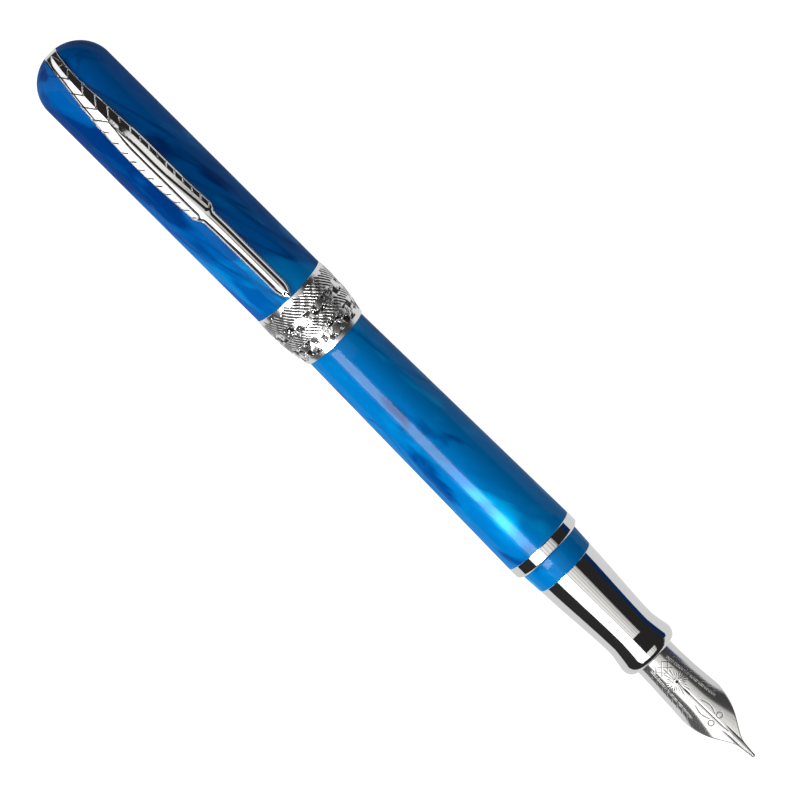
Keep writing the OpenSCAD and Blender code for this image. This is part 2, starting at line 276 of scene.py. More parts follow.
def resin(name, deep, body, bright, pearl, seed, coat):
    """Marbled resin: clouds of pearl and thin dark veins, slanting across a clear, polished blue."""
    t = Tree(name)
    lean = (0, 0.10, 0.28)

    def along(length, width):
        where = t.node("ShaderNodeTexCoord")
        size = (length * MM, width * MM, width * MM)
        made = t.node(
            "ShaderNodeMapping", {"vector_type": "TEXTURE"}, Vector=where.outputs["Object"],
            Location=(seed * 0.01, seed * 0.007, seed * 0.013), Rotation=lean, Scale=size,
        )
        return made.outputs["Vector"]

    broad = t.noise(along(40, 9), 1.0, 2, 0.45, 0.5)
    swirl = t.noise(along(16, 5), 1.0, 3, 0.45, 0.8)
    wisps = t.noise(along(9, 2.2), 1.0, 3, 0.5, 0.5)
    flow = t.maths("ADD", t.maths("MULTIPLY", broad, 0.6), t.maths("MULTIPLY", swirl, 0.4))
    clouds = [(0.38, deep), (0.46, body), (0.55, body), (0.62, bright), (0.72, pearl)]
    colour = t.ramp(flow, clouds, "EASE")
    colour = t.blend(t.span(wisps, 0.55, 0.78, 0.0, 0.35), colour, bright)
    vein = t.maths("ABSOLUTE", t.maths("SUBTRACT", t.noise(along(75, 8), 1.0, 2, 0.4, 0.25), 0.5))
    near_vein = t.span(vein, 0.0, 0.020, 0.80, 0.0)
    streak = t.maths("MULTIPLY", near_vein, t.span(swirl, 0.42, 0.56, 0.40, 1.0))
    colour = t.blend(streak, colour, deep)
    t.set(Base_Color=colour)
    t.set(Metallic=t.span(swirl, 0.45, 0.66, 0.0, 0.10))
    t.set(Roughness=t.span(wisps, 0.3, 0.7, 0.34, 0.46))
    t.set(Specular_IOR_Level=0.0, Coat_Weight=coat, Coat_Roughness=0.03, Coat_IOR=1.5)
    polish = t.noise(t.place((900, 900, 900)), 1.0, 2)
    t.set(Normal=t.bump(polish, 0.02, 0.00002))
    return t.material


def bright_metal(name, colour, rough, grain=(300, 2600, 2600)):
    """Polished metal with faint polishing lines and a slightly uneven shine."""
    t = Tree(name)
    lines = t.noise(t.place(grain), 1.0, 5, 0.6)
    clouds = t.noise(t.place((260, 260, 260)), 1.0, 3)
    t.set(Base_Color=t.blend(clouds, [c * 0.95 for c in colour], colour))
    t.set(Metallic=1.0, Roughness=t.span(lines, 0.3, 0.7, rough * 0.6, rough * 1.5))
    t.set(Normal=t.bump(lines, 0.04, 0.00001))
    return t.material


def engraved_metal(name, colour, dark, rough, metal=1.0):
    """Polished metal darkened by the attribute "cut": the dark fill of engraving, and on the clip and
    nib also painted shade and reflection lines.
    """
    t = Tree(name)
    cut = t.attribute("cut")
    grime = t.noise(t.place((2200, 2200, 2200)), 1.0, 4)
    # The darkening follows "cut": engraving fill, and on the clip and nib painted shade and reflection
    # lines, varied a little at random.
    fill_and_shade = t.maths("MULTIPLY", cut, t.span(grime, 0.25, 0.5, 0.85, 1.0))
    t.set(Base_Color=t.blend(fill_and_shade, colour, dark))
    t.set(Metallic=metal, Roughness=t.span(fill_and_shade, 0.0, 1.0, rough, 0.45))
    fine = t.noise(t.place((1500, 4200, 4200)), 1.0, 3)
    t.set(Normal=t.bump(fine, 0.05, 0.00001))
    return t.material


def moulded(name, colour, rough, speck=3200):
    """Black or dark plastic with a fine moulded texture."""
    t = Tree(name)
    grain = t.noise(t.place((speck, speck, speck)), 1.0, 4)
    wear = t.noise(t.place((180, 180, 180)), 1.0, 3)
    t.set(Base_Color=t.blend(wear, [c * 0.7 for c in colour], [c * 1.4 for c in colour]))
    t.set(Roughness=t.span(wear, 0.3, 0.7, rough * 0.8, rough * 1.2))
    t.set(Normal=t.bump(grain, 0.12, 0.00002))
    return t.material


def machined(name, colour, rough):
    """Turned metal with fine rings along the pen."""
    t = Tree(name)
    rings = t.noise(t.place((9000, 120, 120)), 1.0, 3)
    stain = t.noise(t.place((300, 300, 300)), 1.0, 4)
    t.set(Base_Color=t.blend(stain, [c * 0.82 for c in colour], colour))
    t.set(Metallic=1.0, Roughness=t.span(rings, 0.3, 0.7, rough * 0.7, rough * 1.4))
    t.set(Normal=t.bump(rings, 0.15, 0.00001))
    return t.material


def clear_plastic(name):
    """The converter's clear tube, with faint moulding lines."""
    t = Tree(name)
    lines = t.noise(t.place((60, 700, 700)), 1.0, 3)
    t.set(Base_Color=t.blend(lines, (0.90, 0.94, 0.97), (0.97, 0.99, 1.0)))
    t.set(Transmission_Weight=1.0, IOR=1.49, Roughness=t.span(lines, 0.3, 0.7, 0.01, 0.05))
    t.set(Normal=t.bump(lines, 0.03, 0.00001))
    return t.material


# The cap has the barrel's marbled blue painted darker all over: painted shade that makes the cap look
# less lit than the barrel.
SHADED_CAP_RESIN = resin(
    "cap_resin", deep=(0.0, 0.034, 0.18), body=(0.0, 0.095, 0.36), bright=(0.0, 0.19, 0.53),
    pearl=(0.0, 0.30, 0.66), seed=3.1, coat=0.12,
)
BARREL_RESIN = resin(
    "barrel_resin", deep=(0.0, 0.065, 0.28), body=(0.0, 0.18, 0.52), bright=(0.0, 0.33, 0.72),
    pearl=(0.01, 0.46, 0.84), seed=7.4, coat=0.2,
)
CHROME = bright_metal("polished_steel", (0.84, 0.84, 0.85), rough=0.045)
# Its dark colour fills the nib's engraving and also paints the nib's shade lines.
NIB_STEEL = engraved_metal(
    "nib_steel", (0.80, 0.80, 0.80), dark=(0.30, 0.30, 0.30), rough=0.16, metal=0.93
)
BAND_STEEL = engraved_metal(
    "engraved_steel", (0.86, 0.86, 0.86), dark=(0.02, 0.02, 0.022), rough=0.24
)
# Its dark colour fills the clip's cuts and also paints the shade and reflection lines laid on the clip.
CLIP_STEEL = engraved_metal("clip_steel", (0.84, 0.84, 0.85), dark=(0.03, 0.03, 0.03), rough=0.05)
PLAIN_STEEL = machined("plain_steel", (0.60, 0.60, 0.62), rough=0.25)
NICKEL = machined("plated_magnet", (0.70, 0.69, 0.67), rough=0.18)
BRASS = machined("brass", (0.80, 0.58, 0.26), rough=0.22)
TIP_ALLOY = machined("tip_alloy", (0.74, 0.74, 0.76), rough=0.16)
BLACK_PLASTIC = moulded("black_plastic", (0.012, 0.012, 0.013), rough=0.38)
RUBBER = moulded("rubber", (0.02, 0.02, 0.02), rough=0.75, speck=5200)
CLEAR_PLASTIC = clear_plastic("clear_plastic")


def finish_cad_nodes():
    """The inner parts keep their CAD shapes and take procedural materials."""
    by_slot = {
        "polished_steel": CHROME, "plain_steel": PLAIN_STEEL, "engraved_steel": BAND_STEEL,
        "nib_steel": NIB_STEEL, "tip_alloy": TIP_ALLOY, "plated_magnet": NICKEL, "brass": BRASS,
        "black_plastic": BLACK_PLASTIC, "clear_plastic": CLEAR_PLASTIC, "rubber": RUBBER,
        "cap_resin": SHADED_CAP_RESIN, "barrel_resin": BARREL_RESIN,
    }
    for part in frame["record"]["subparts"]:
        piece = frame["nodes"][part["node"]]
        piece.data.materials.clear()
        piece.data.materials.append(by_slot[part["material_slot"]])


# ---------------------------------------------------------------- cap

cap_low, cap_high = span("cap_shell")
band_low, band_high = span("cap_band")
magnet_low, magnet_high = span("cap_magnet_ring")
liner_low, liner_high = span("inner_cap")
arm_low, arm_high = span("clip_arm")
screw_x = span("clip_screw")[1].x

CROWN_X = cap_low.x
BAND_X, LIP_X = band_low.x, band_high.x
CAP_R = (cap_high.y - cap_low.y) / 2
BAND_R = (band_high.y - band_low.y) / 2
SEEN_R = CAP_R - 0.12  # the visible shell, a little inside the CAD one
SPIGOT_R = (magnet_high.y - magnet_low.y) / 2
CAP_BORE_R = (liner_high.y - liner_low.y) / 2 + 0.02
DOME_LEN = 6.6
DOME_X = CROWN_X + DOME_LEN
CROWN_FLOOR_X = screw_x - 2.2
STRIP_W = 2.45
STRIP_FROM = -14  # degrees past the crown, where the clip's strip starts in its groove
GROOVE_FROM = STRIP_FROM - 0.8
GROOVE_PAST = 1.5  # how far the groove's cutter stands outside the dome
TANG_LOW, TANG_TOP = 1.6, 2.5
TANG_DIP = 1.6
TANG_GAP = 0.06
BEND_X = CROWN_X + 2.2


def on_dome(angle, length, radius):
    """A point (x, height above the axis) on an ellipse: angle 0 is the crown, 90 the cap's side."""
    return DOME_X - length * math.cos(math.radians(angle)), radius * math.sin(math.radians(angle))


def cut_away(piece, cutter):
    """Cuts one mesh out of another for good, and removes the cutter."""
    change = piece.modifiers.new("cut", "BOOLEAN")
    change.operation = "DIFFERENCE"
    change.solver = "EXACT"
    change.object = cutter
    graph = bpy.context.evaluated_depsgraph_get()
    mesh = bpy.data.meshes.new_from_object(piece.evaluated_get(graph), depsgraph=graph)
    piece.modifiers.clear()
    piece.data = mesh
    bpy.data.objects.remove(cutter)
    mesh.polygons.foreach_set("use_smooth", [True] * len(mesh.polygons))
    mesh.set_sharp_from_angle(angle=SHARP)


def slab(name, outline, width, body=None):
    """A closed plate of a side outline, (x, height above the axis), centred across the pen."""
    count = len(outline)
    points = [(x, side * width / 2, AXIS_Z + z) for side in (-1, 1) for x, z in outline]
    faces = [tuple(range(count)), tuple(range(2 * count - 1, count - 1, -1))]
    for i in range(count):
        k = (i + 1) % count
        faces.append((i, k, count + k, count + i))
    return new_object(name, points, faces, body, CHROME)


def tang_outline(start, end, gap):
    """The clip's root in side view: slanting in behind the crown, then straight to its washer."""
    drop = TANG_DIP * (BEND_X - start) / (BEND_X - CROWN_X)
    return [
        (start, TANG_LOW - drop - gap), (BEND_X, TANG_LOW - gap), (end, TANG_LOW - gap),
        (end, TANG_TOP + gap), (BEND_X, TANG_TOP + gap), (start, TANG_TOP - drop + gap),
    ]


def make_cap():
    """The cap's blue shell, with the clip's groove over the crown and the slot of its tang cut out."""
    dome = [on_dome(a, DOME_LEN, SEEN_R) for a in np.linspace(0, 90, 40)]
    side = [(x, SEEN_R) for x in np.linspace(DOME_X, BAND_X, 12)[1:-1]]
    inside = rounded([
        (BAND_X, SEEN_R, 0.08), (BAND_X, SPIGOT_R), (magnet_low.x, SPIGOT_R), (magnet_low.x, CAP_BORE_R),
        (CROWN_FLOOR_X, CAP_BORE_R, 0.4), (CROWN_FLOOR_X, 0),
    ])
    cap = turned("cap_body", dome + side + inside, "cap", SHADED_CAP_RESIN, 256)
    floor_r = CAP_R - 0.30
    past_len, past_r = DOME_LEN + GROOVE_PAST, CAP_R + GROOVE_PAST
    groove = [on_dome(a, past_len, past_r) for a in np.linspace(GROOVE_FROM, 90, 26)]
    groove += [(DOME_X + 3.2, past_r), (DOME_X + 3.2, CAP_R + 0.05), (DOME_X + 1.2, floor_r)]
    groove += [on_dome(a, DOME_LEN - 0.74, floor_r) for a in np.linspace(90, GROOVE_FROM, 36)]
    cut_away(cap, slab("groove", groove, STRIP_W + 0.16))
    tang = tang_outline(CROWN_X + 0.4, CROWN_FLOOR_X + 0.2, TANG_GAP)
    cut_away(cap, slab("tang_slot", tang, STRIP_W + 0.12))
    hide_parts("cap_shell")


HATCH_LINES = 62
HATCHED_BELTS = ((0.75, 3.60), (5.30, 7.40))
BEADED_BELTS = ((3.65, 5.35, 150, 0), (7.45, 10.1, 150, 18))  # start, end, beads, leaves
BEAD_SEED = 20


def band_relief(along, around):
    """Height in mm over the band's plain face, and how dark it is, for arrays of mm along and round it.

    Two hatched belts stand beside belts of beads and leaves, on a ground that is darkened in patches.
    """
    girth = 2 * math.pi * BAND_R
    turn = 2 * math.pi * around / girth

    def belt(start, end, soft=0.10):
        return smoothstep((along - start) / soft) * smoothstep((end - along) / soft)

    phase = (around + along * 0.95) / girth * HATCH_LINES
    line = 0.5 + 0.5 * np.cos(2 * math.pi * phase)
    groove = smoothstep((line - 0.40) / 0.30)
    height = np.zeros_like(along)
    dark = np.zeros_like(along)
    for start, end in HATCHED_BELTS:
        wander = 0.30 * np.sin(17 * turn) + 0.15 * np.sin(41 * turn + 1)
        mask = belt(start + wander, end + wander, 0.22)
        height -= 0.10 * groove * mask
        dark = np.maximum(dark, groove * mask)

    rng = random.Random(BEAD_SEED)
    for start, end, beads, leaves in BEADED_BELTS:
        mask = belt(start - 0.15, end + 0.1)
        patch = np.sin(9 * turn + 2.2 * along) + 0.7 * np.sin(23 * turn - 1.7 * along + 2)
        ground = smoothstep((patch - 0.05) / 0.35)
        raised = np.full_like(along, 0.04) * (1 - ground)
        for k in range(leaves):
            a0 = girth * (k + 0.5) / leaves
            lean = 0.75 if k % 2 else -0.75
            da = (around - a0 + girth / 2) % girth - girth / 2
            ds = along - mix(start, end, 0.48)
            u = ds * math.cos(lean) + da * math.sin(lean)
            v = -ds * math.sin(lean) + da * math.cos(lean)
            girdle = np.maximum(0.36 * np.cos(np.clip(u, -0.9, 0.9) * 1.4), 0.05)
            leaf = smoothstep((1 - np.hypot(u / 0.95, v / girdle)) / 0.25)
            leaf = leaf * smoothstep((np.abs(v) - 0.02) / 0.05)
            raised = np.maximum(raised, 0.11 * leaf)
            ground = np.minimum(ground, 1 - leaf)
        for k in range(beads):
            a0, s0, radius = rng.uniform(0, girth), rng.uniform(start, end), rng.uniform(0.10, 0.19)
            da = (around - a0 + girth / 2) % girth - girth / 2
            apart = da ** 2 + (along - s0) ** 2
            bead = np.clip(1 - apart / radius ** 2, 0, 1)
            collar = np.clip(1 - apart / (radius + 0.10) ** 2, 0, 1)
            raised = np.maximum(raised, 0.12 * np.sqrt(bead))
            ground = np.maximum(ground, 0.85 * smoothstep(collar / 0.2))
            ground = np.minimum(ground, 1 - smoothstep(bead / 0.35))
        height += mask * (raised - 0.12)
        dark = np.maximum(dark, mask * ground)
    return height, dark


def make_band():
    """The cap band: plain rims, and a relief worked into real geometry between them."""
    rows, cols = 150, 600
    bulge_x, lip_r = BAND_X + 3.5, 6.15
    x = np.linspace(BAND_X, LIP_X, rows)
    rear = mix(SEEN_R + 0.05, BAND_R - 0.02, smoothstep((x - BAND_X) / 2.2))
    front = mix(BAND_R - 0.02, lip_r, ((x - bulge_x) / (LIP_X - bulge_x)) ** 2)
    radius = np.where(x < bulge_x, rear, front)
    radius[0] -= 0.06
    slope = np.gradient(radius, x)
    nx, nr = -slope / np.sqrt(1 + slope ** 2), 1 / np.sqrt(1 + slope ** 2)
    angle = np.linspace(0, 2 * math.pi, cols, endpoint=False)
    along, turn = np.meshgrid(x - BAND_X, angle, indexing="ij")
    height, dark = band_relief(along, turn * BAND_R)
    px = x[:, None] + nx[:, None] * height
    pr = radius[:, None] + nr[:, None] * height
    outer = np.stack([px, -pr * np.sin(turn), AXIS_Z + pr * np.cos(turn)], -1).reshape(-1, 3)
    inside = rounded([
        (LIP_X, CAP_BORE_R, 0.06), (magnet_high.x, CAP_BORE_R), (magnet_high.x, SPIGOT_R + 0.02),
        (BAND_X, SPIGOT_R + 0.02),
    ])
    inner = [(u, -r * math.sin(a), AXIS_Z + r * math.cos(a)) for u, r in inside for a in angle]
    points = np.concatenate([outer, np.array(inner)])
    ring_rows = rows + len(inside)
    faces = grid_faces(ring_rows, cols, wrap=True)
    last = (ring_rows - 1) * cols
    faces += [(last + j, last + (j + 1) % cols, (j + 1) % cols, j) for j in range(cols)]
    band = new_object("cap_band_relief", points, faces, "cap", BAND_STEEL)
    paint(band, "cut", np.concatenate([dark.reshape(-1), np.zeros(len(inner))]))
    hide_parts("cap_band")


# ---------------------------------------------------------------- clip

RISE, RISE_LEN = 0.95, 14.0
FALL = 0.58
VANE_END_X = DOME_X + 30
TAPER_X = DOME_X + 46
QUILL_X = arm_high.x
SHAFT_FROM = 15.0
SHAFT_W = 2.6
VANE_W = arm_high.y - arm_low.y
LEAF_FROM = 20  # degrees from the crown, where the feather's pointed tip starts
DOME_STEPS, RUN_STEPS = 140, 450


def clip_path():
    """The clip's underside, (x, height above the axis), and the length along it from the leaf's tip."""
    dome = [on_dome(a, DOME_LEN - 0.62, CAP_R - 0.2) for a in np.linspace(STRIP_FROM, 90, DOME_STEPS)]
    run = []
    for u in np.linspace(DOME_X, QUILL_X, RUN_STEPS)[1:]:
        rise = 1 - (1 - min(1, (u - DOME_X) / RISE_LEN)) ** 2
        fall = float(smoothstep((u - VANE_END_X) / (TAPER_X - VANE_END_X)))
        run.append((u, CAP_R - 0.2 + RISE * rise - FALL * fall))
    path = np.array(dome + run)
    length = np.concatenate([[0], np.cumsum(np.linalg.norm(np.diff(path, axis=0), axis=1))])
    leaf_tip = int((DOME_STEPS - 1) * (LEAF_FROM - STRIP_FROM) / (90 - STRIP_FROM))
    return path, length - length[leaf_tip]


def clip_top(length, y, half, shaft_half, leaving, quill):
    """Height of the clip's face over its underside, and how dark it is, at places along and across it.

    A plain strip comes over the crown. The feather starts on it as a pointed leaf with a ridged roof and
    chevron cuts. Further on a shaft rises along the middle, and the cuts stay in each vane's border.
    The darkness is the cuts' fill, darker on the lower side as painted shade; painted shade lines run
    beside the shaft and inside the lower border, the strip's recess is painted dark as shade, and
    painted reflection bands cross the bare shaft.
    """
    side = np.abs(y)
    lower = smoothstep((0.15 - y) / 0.10)
    steep = np.where(y > 0, 0.43, 0.31)
    roof = 0.91 - steep * np.abs(y - 0.10)
    border = half - 0.80
    vane = 0.58 + 0.10 * (1 - side / np.maximum(border, 0.1))
    vane = np.where(side > border, 0.58 - steep * (side - border), vane)
    u = np.clip(side / shaft_half, 0, 1)
    round_top = 1 - 0.60 * u ** 2 - 0.40 * (1 - np.sqrt(1 - u ** 2))
    rachis = mix(0.50, 0.93, round_top)
    body = np.clip(side / np.maximum(half - 0.10, 0.05), 0, 1)
    naked = np.maximum(0.93 * np.sqrt(1 - body ** 2), 0.14)
    feather = np.maximum(vane, np.where(side < shaft_half, rachis, 0))
    top = mix(roof, feather, smoothstep((length - SHAFT_FROM + 1.0) / 3.0))

    edge = smoothstep((half - side) / 0.20)
    top = top - 0.30 * (1 - edge)
    top = mix(top, naked, leaving)
    leaf = half * np.sqrt(np.clip(length / 5.0, 0, 1))
    raised = np.where(length > 5.0, 1.0, smoothstep((leaf - side) / 0.16 + 0.2))
    rim = smoothstep((side - half + 0.26) / 0.06) * edge
    strip = mix(0.57, mix(0.26, 0.55, rim), smoothstep((length + 0.75) / 0.3))
    top = mix(strip, top, raised)

    pitch_at, pitches = [0, 3, 6, 9, 15, 19, 22], [4.0, 3.8, 3.0, 2.8, 2.6, 2.2, 1.95]
    pitch = np.interp(length[:, 0], pitch_at, pitches)[:, None]
    count = np.cumsum(np.gradient(length[:, 0])[:, None] / pitch, axis=0)
    count = count - np.interp(4.1, length[:, 0], count[:, 0]) + 0.5
    swept = count - 1.15 * (half - side) / pitch
    saw = np.abs(swept - np.floor(swept) - 0.5) * pitch
    cut = smoothstep((0.13 - saw) / 0.08)
    kept = smoothstep((side - border) / 0.10)
    where = mix(1.0, kept, smoothstep((length - SHAFT_FROM) / 1.5))
    where = where * smoothstep((half - side - 0.02) / 0.06)
    cut = cut * where * (1 - leaving) * raised * smoothstep((length - 1.6) / 0.5)
    top = top - 0.16 * cut
    # Painted shade: a dark line beside the shaft, on the lower side only.
    flank = smoothstep((0.09 - np.abs(side - shaft_half)) / 0.05) * lower
    flank = flank * smoothstep((length - SHAFT_FROM - 1) / 3) * (1 - leaving)
    # Painted shade: a dark line just inside the lower border, on the lower side only.
    edge_shade_line = smoothstep((0.17 - np.abs(half - side - 0.42)) / 0.05) * lower * (1 - leaving) * raised
    edge_shade_line = edge_shade_line * (1 - smoothstep((length - 12) / 3))
    # Painted shade: the strip's recess round the leaf's tip is painted dark, all but its rims.
    hollow = (1 - raised) * (1 - rim) * smoothstep((length + 1.1) / 0.4)
    # Painted reflections: a black band on the lower half of the bare shaft and a dark line just above
    # its middle.
    v = y / half
    bare = leaving * smoothstep((quill - 2.2) / 1.2)
    deep = smoothstep((0.05 + 0.12 * smoothstep((16 - quill) / 5) - np.abs(v + 0.50)) / 0.05)
    ridge = 0.8 * smoothstep((0.09 - np.abs(v - 0.12)) / 0.06)
    # Painted shade: the cuts' dark fill is full on the lower side and faint on the upper side.
    shade = np.maximum.reduce([
        cut * mix(0.15, 1.0, lower), flank, edge_shade_line, hollow, bare * deep, bare * ridge,
    ])
    slant = smoothstep((3.0 - quill) / 3.0)
    side_low = smoothstep((0.5 - y) / 0.6)
    top = np.minimum(top, mix(2.0, mix(0.62, 0.26, side_low), slant ** 0.6))
    return np.maximum(top, 0.10), shade


def make_clip():
    """The clip as one sprung strip, shaped as a feather: barbed vanes, a round shaft and a cut quill."""
    path, length = clip_path()
    x = path[:, 0]
    tangent = np.gradient(path, axis=0)
    tangent /= np.linalg.norm(tangent, axis=1)[:, None]
    normal = np.stack([-tangent[:, 1], tangent[:, 0]], -1)
    quill = length[-1] - length

    spread = 1 - (1 - np.clip((length - 5.5) / 18, 0, 1)) ** 1.8
    vane = STRIP_W / 2 + (VANE_W - STRIP_W) / 2 * spread - 0.14 * smoothstep((length - 22) / 12)
    shaft = (SHAFT_W / 2) * (1 - 0.04 * smoothstep((length - 34) / 14))
    vane_end = np.interp(VANE_END_X, x[40:], length[40:])
    leaving = smoothstep((length - vane_end + 1.7) / 1.7)
    half = mix(vane, shaft, leaving)
    half = half * (1 - (1 - np.clip(quill / 2.9, 0, 1)) ** 2.3)
    half = np.maximum(half, 0.06)
    sway = -0.30 * smoothstep(length / 12) + 0.60 * smoothstep((length - 24) / 18)

    cols = 81
    share = np.linspace(-1, 1, cols)
    share = np.sign(share) * np.abs(share) ** 0.85
    grid_len = np.repeat(length[:, None], cols, 1)
    y = share[None, :] * half[:, None]
    shaft_half = mix(0.18, shaft * 0.50, smoothstep((length - SHAFT_FROM) / 6))
    shaft_half = mix(shaft_half, shaft * 0.78, smoothstep((length - vane_end + 12) / 11))
    shaft_half = np.minimum(mix(shaft_half, half, leaving), half)
    top, shade = clip_top(
        grid_len, y, half[:, None], shaft_half[:, None], leaving[:, None], quill[:, None]
    )

    surface = path[:, None, :] + normal[:, None, :] * top[..., None]
    rows = len(length)
    placed = y + sway[:, None]
    under_y = y * 0.94 + sway[:, None]
    upper = np.stack([surface[..., 0], placed, AXIS_Z + surface[..., 1]], -1).reshape(-1, 3)
    under_x = np.repeat(x[:, None], cols, 1)
    under_z = AXIS_Z + np.repeat(path[:, 1:2], cols, 1)
    under = np.stack([under_x, under_y, under_z], -1)
    points = np.concatenate([upper, under.reshape(-1, 3)])
    first = rows * cols
    faces = grid_faces(rows, cols) + grid_faces(rows, cols, first=first, flip=True)
    for i in range(rows - 1):
        a, b = i * cols, (i + 1) * cols
        faces.append((a, b, first + b, first + a))
        faces.append((b + cols - 1, a + cols - 1, first + a + cols - 1, first + b + cols - 1))
    last = (rows - 1) * cols
    for j in range(cols - 1):
        faces.append((j + 1, j, first + j, first + j + 1))
        faces.append((last + j, last + j + 1, first + last + j + 1, first + last + j))
    feather = new_object("clip_feather", points, faces, None, CLIP_STEEL)
    # The "cut" attribute holds the cuts' dark fill with the painted shade and painted reflections from
    # clip_top.
    paint(feather, "cut", np.concatenate([shade.reshape(-1), np.zeros(first)]))
    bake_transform(feather)
    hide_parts("clip_arm")
    make_clip_eye()


def make_clip_eye():
    """The clip's root: a washer held by the screw under the crown, and the tang that leads to it."""
    start, end = CROWN_FLOOR_X, CROWN_FLOOR_X + 0.8
    eye = turned(
        "clip_eye", rounded([(start, 1.22), (start, 3.0, 0.12), (end, 3.0, 0.12), (end, 1.22)]),
        "cap", CHROME, 96,
    )
    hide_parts("clip_foot")
    slab("clip_tang", tang_outline(CROWN_X + 0.45, end - 0.05, 0), STRIP_W, "cap")


# ---------------------------------------------------------------- barrel and section

def half_width(node):
    """The outer radius of a round CAD node."""
    low, high = span(node)
    return (high.y - low.y) / 2


def make_barrel():
    """The barrel's blue body, the trim ring on its front end and the blue neck in front of the ring."""
    low, high = span("barrel_shell")
    bush_low, bush_high = span("barrel_bush")
    front_r = (high.y - low.y) / 2
    bush_r = (bush_high.y - bush_low.y) / 2 + 0.02
    rear_r, rear_len = 5.5, 7.0
    bore_r, floor_r = 4.15, 2.5
    rear_x = low.x + rear_len
    floor_x = rear_x - 4.3
    dome = [
        (rear_x - rear_len * math.cos(math.radians(a)), rear_r * math.sin(math.radians(a)))
        for a in np.linspace(0, 90, 32)
    ]
    steps = [k / 16 for k in range(1, 16)] + [0.985, 0.994]
    side = [(mix(rear_x, high.x, k), mix(rear_r, front_r, k)) for k in steps]
    bore = rounded([
        (high.x, front_r, 0.12), (high.x, bush_r), (bush_low.x, bush_r), (bush_low.x, bore_r),
        (rear_x - 1, bore_r), (floor_x, floor_r, 0.8), (floor_x, 0),
    ])
    barrel = turned("barrel_body", dome + side + bore, "barrel", BARREL_RESIN, 256)
    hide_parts("barrel_shell")

    ring_r = (ring_high.y - ring_low.y) / 2
    ring = turned(
        "trim_ring_polished",
        rounded([
            (ring_low.x, bush_r), (ring_low.x, ring_r, 0.12), (ring_low.x + 0.15, ring_r),
            (ring_high.x - 0.50, ring_r), (ring_high.x - 0.35, ring_r, 0.25),
            (ring_high.x, ring_r - 0.45, 0.06), (ring_high.x, bush_r),
        ]),
        "barrel", CHROME, 256,
    )
    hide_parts("trim_ring")

    neck_low, neck_high = span("barrel_neck")
    neck_r = (neck_high.y - neck_low.y) / 2
    seal_r = half_width("section_seal") + 0.1
    keeper_r = half_width("barrel_magnet_ring") + 0.02
    neck = turned(
        "barrel_neck_polished",
        rounded([
            (neck_low.x, keeper_r), (neck_low.x, neck_r), (neck_high.x, neck_r - 0.22, 0.14),
            (neck_high.x, seal_r), (neck_high.x - 0.3, seal_r), (neck_high.x - 0.3, bush_r),
            (neck_low.x + 2.2, bush_r), (neck_low.x + 2.2, keeper_r),
        ]),
        "barrel", BARREL_RESIN, 256,
    )
    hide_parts("barrel_neck")


grip_low, grip_high = span("section_grip")
collar_low, collar_high = span("nib_collar")
RIM_X = grip_high.x
GRIP_REAR_R = (grip_high.y - grip_low.y) / 2
WAIST_X, WAIST_R = RIM_X - 5.3, 4.77
RIM_R, RIM_LEN, RIM_ROUND = 5.33, 1.8, 1.05


def grip_radius(x):
    """A long fall to the waist and a short flare to the rim."""
    if x < WAIST_X:
        u = (x - grip_low.x) / (WAIST_X - grip_low.x)
        return mix(WAIST_R, GRIP_REAR_R, 0.5 * (1 - u) + 0.25 * (1 + math.cos(math.pi * u)))
    return mix(WAIST_R, RIM_R, ((x - WAIST_X) / (RIM_X - RIM_LEN - WAIST_X)) ** 1.35)


def make_grip():
    """The polished grip, an hourglass with a rounded rim, hollow for the sleeve and the nib's collar."""
    bore_r = (collar_high.y - collar_low.y) / 2 + 0.05
    sleeve_r = half_width("section_sleeve") + 0.02
    body = [(x, grip_radius(x)) for x in np.linspace(grip_low.x + 0.12, RIM_X - RIM_LEN, 110)]
    rim = [
        (RIM_X - RIM_LEN * (1 - math.cos(a)), RIM_R - RIM_ROUND * (1 - math.sin(a)))
        for a in np.radians(np.linspace(84, 6, 22))
    ]
    inside = rounded([
        (RIM_X, bore_r), (collar_low.x, bore_r), (collar_low.x, sleeve_r), (grip_low.x, sleeve_r),
        (grip_low.x, GRIP_REAR_R - 0.12),
    ])
    grip = turned("grip_polished", body + rim + inside, "section", CHROME, 256)
    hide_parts("section_grip")


# ---------------------------------------------------------------- nib

nib_low, nib_high = span("nib")
NIB_END_X = nib_high.x
NIB_BASE_R = 3.72
SHOULDER_X = RIM_X + 11.3
SHOULDER_W = (nib_high.y - nib_low.y) / 2
NIB_TIP_Z = 0.32
NIB_T = 0.3
TINE_ROOT_W, TINE_END_W = 1.6, 0.3
VENT_X, VENT_R = RIM_X + 5.5, 0.28
SLIT_HALF = 0.07
KEEL_FROM = 15.8  # from the grip's rim to where the ridge over the slit starts to rise
TAIL_ROWS, BLADE_ROWS, NIB_COLS = 24, 347, 66


def nib_half_width(x):
    """Half the blade's width, measured round its arch: it swells to the shoulders, then narrows."""
    swell = mix(NIB_BASE_R, SHOULDER_W, np.clip((x - RIM_X) / (SHOULDER_X - RIM_X), 0, 1) ** 1.7)
    u = np.clip((x - SHOULDER_X) / (NIB_END_X - SHOULDER_X), 0, 1)
    flank = mix(TINE_ROOT_W, TINE_END_W, u)
    flank = flank + (SHOULDER_W - TINE_ROOT_W) * (1 - smoothstep(np.minimum(1, u / 0.8) ** 1.5))
    return np.where(x < SHOULDER_X, swell, flank)


def nib_crown(x):
    """Height of the blade's ridge over the axis, which falls towards the tip."""
    return mix(NIB_BASE_R, NIB_TIP_Z, np.clip((x - RIM_X) / (NIB_END_X - RIM_X), 0, 1) ** 1.3)


def nib_arch(x):
    """Radius of the blade across the pen: it opens towards the shoulders and flattens to the tip."""
    to_shoulder = smoothstep((x - RIM_X) / (SHOULDER_X - RIM_X))
    to_tip = smoothstep((x - SHOULDER_X + 2) / (NIB_END_X - SHOULDER_X))
    return NIB_BASE_R + 0.01 + 0.85 * to_shoulder + 5.0 * to_tip


